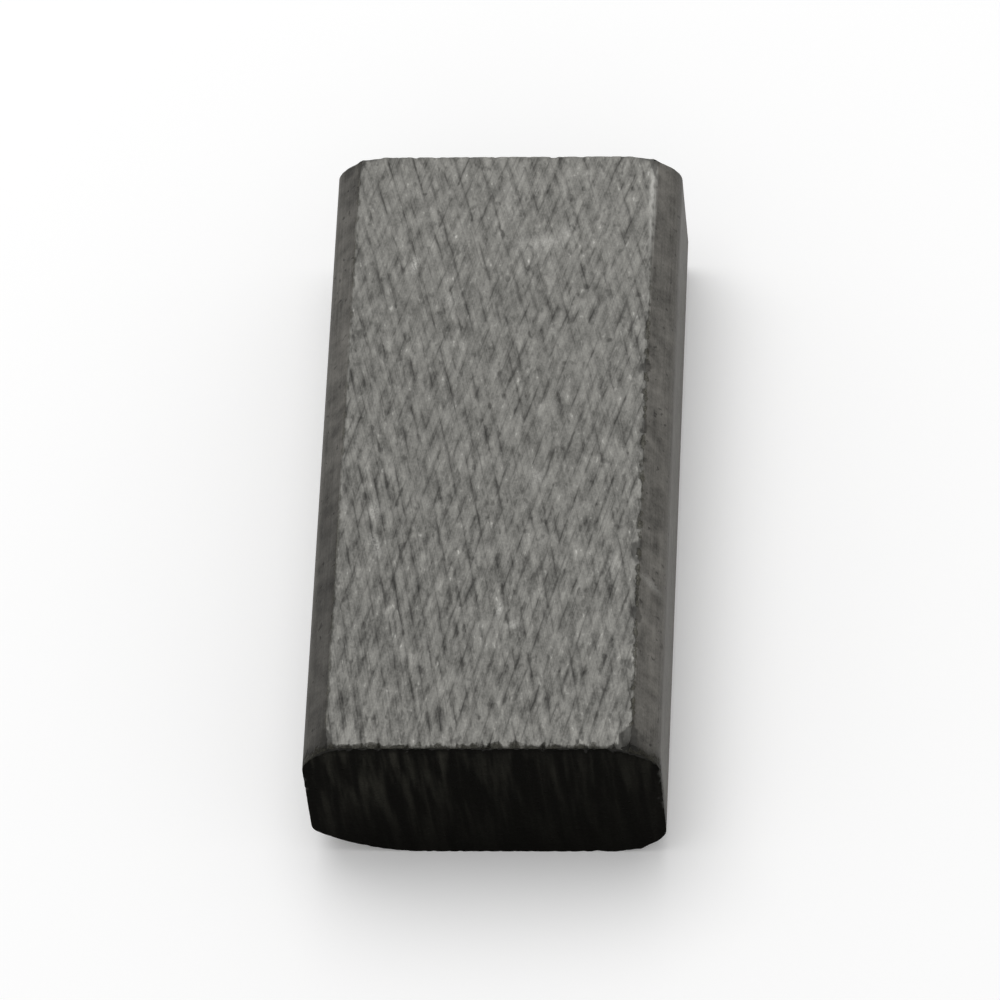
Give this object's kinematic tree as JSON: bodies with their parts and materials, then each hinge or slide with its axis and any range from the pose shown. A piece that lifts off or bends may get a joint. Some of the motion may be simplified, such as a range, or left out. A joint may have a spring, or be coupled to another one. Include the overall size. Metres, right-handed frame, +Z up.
{
  "type": "carbon brush",
  "caption": "Plain carbon brush block: a dark graphite bar with ground broad faces, chamfered long edges and plain cut ends, which slides in a brush holder.",
  "frame": {"origin": "middle of the lower broad face, which the block lies on", "axes": "+Y along the length, +X across the width, +Z up through the thickness"},
  "size_m": [0.0126, 0.025, 0.007],
  "materials": {
    "graphite": "matte"
  },
  "bodies": {
    "root": {"brush_block": "graphite"}
  },
  "joints": []
}
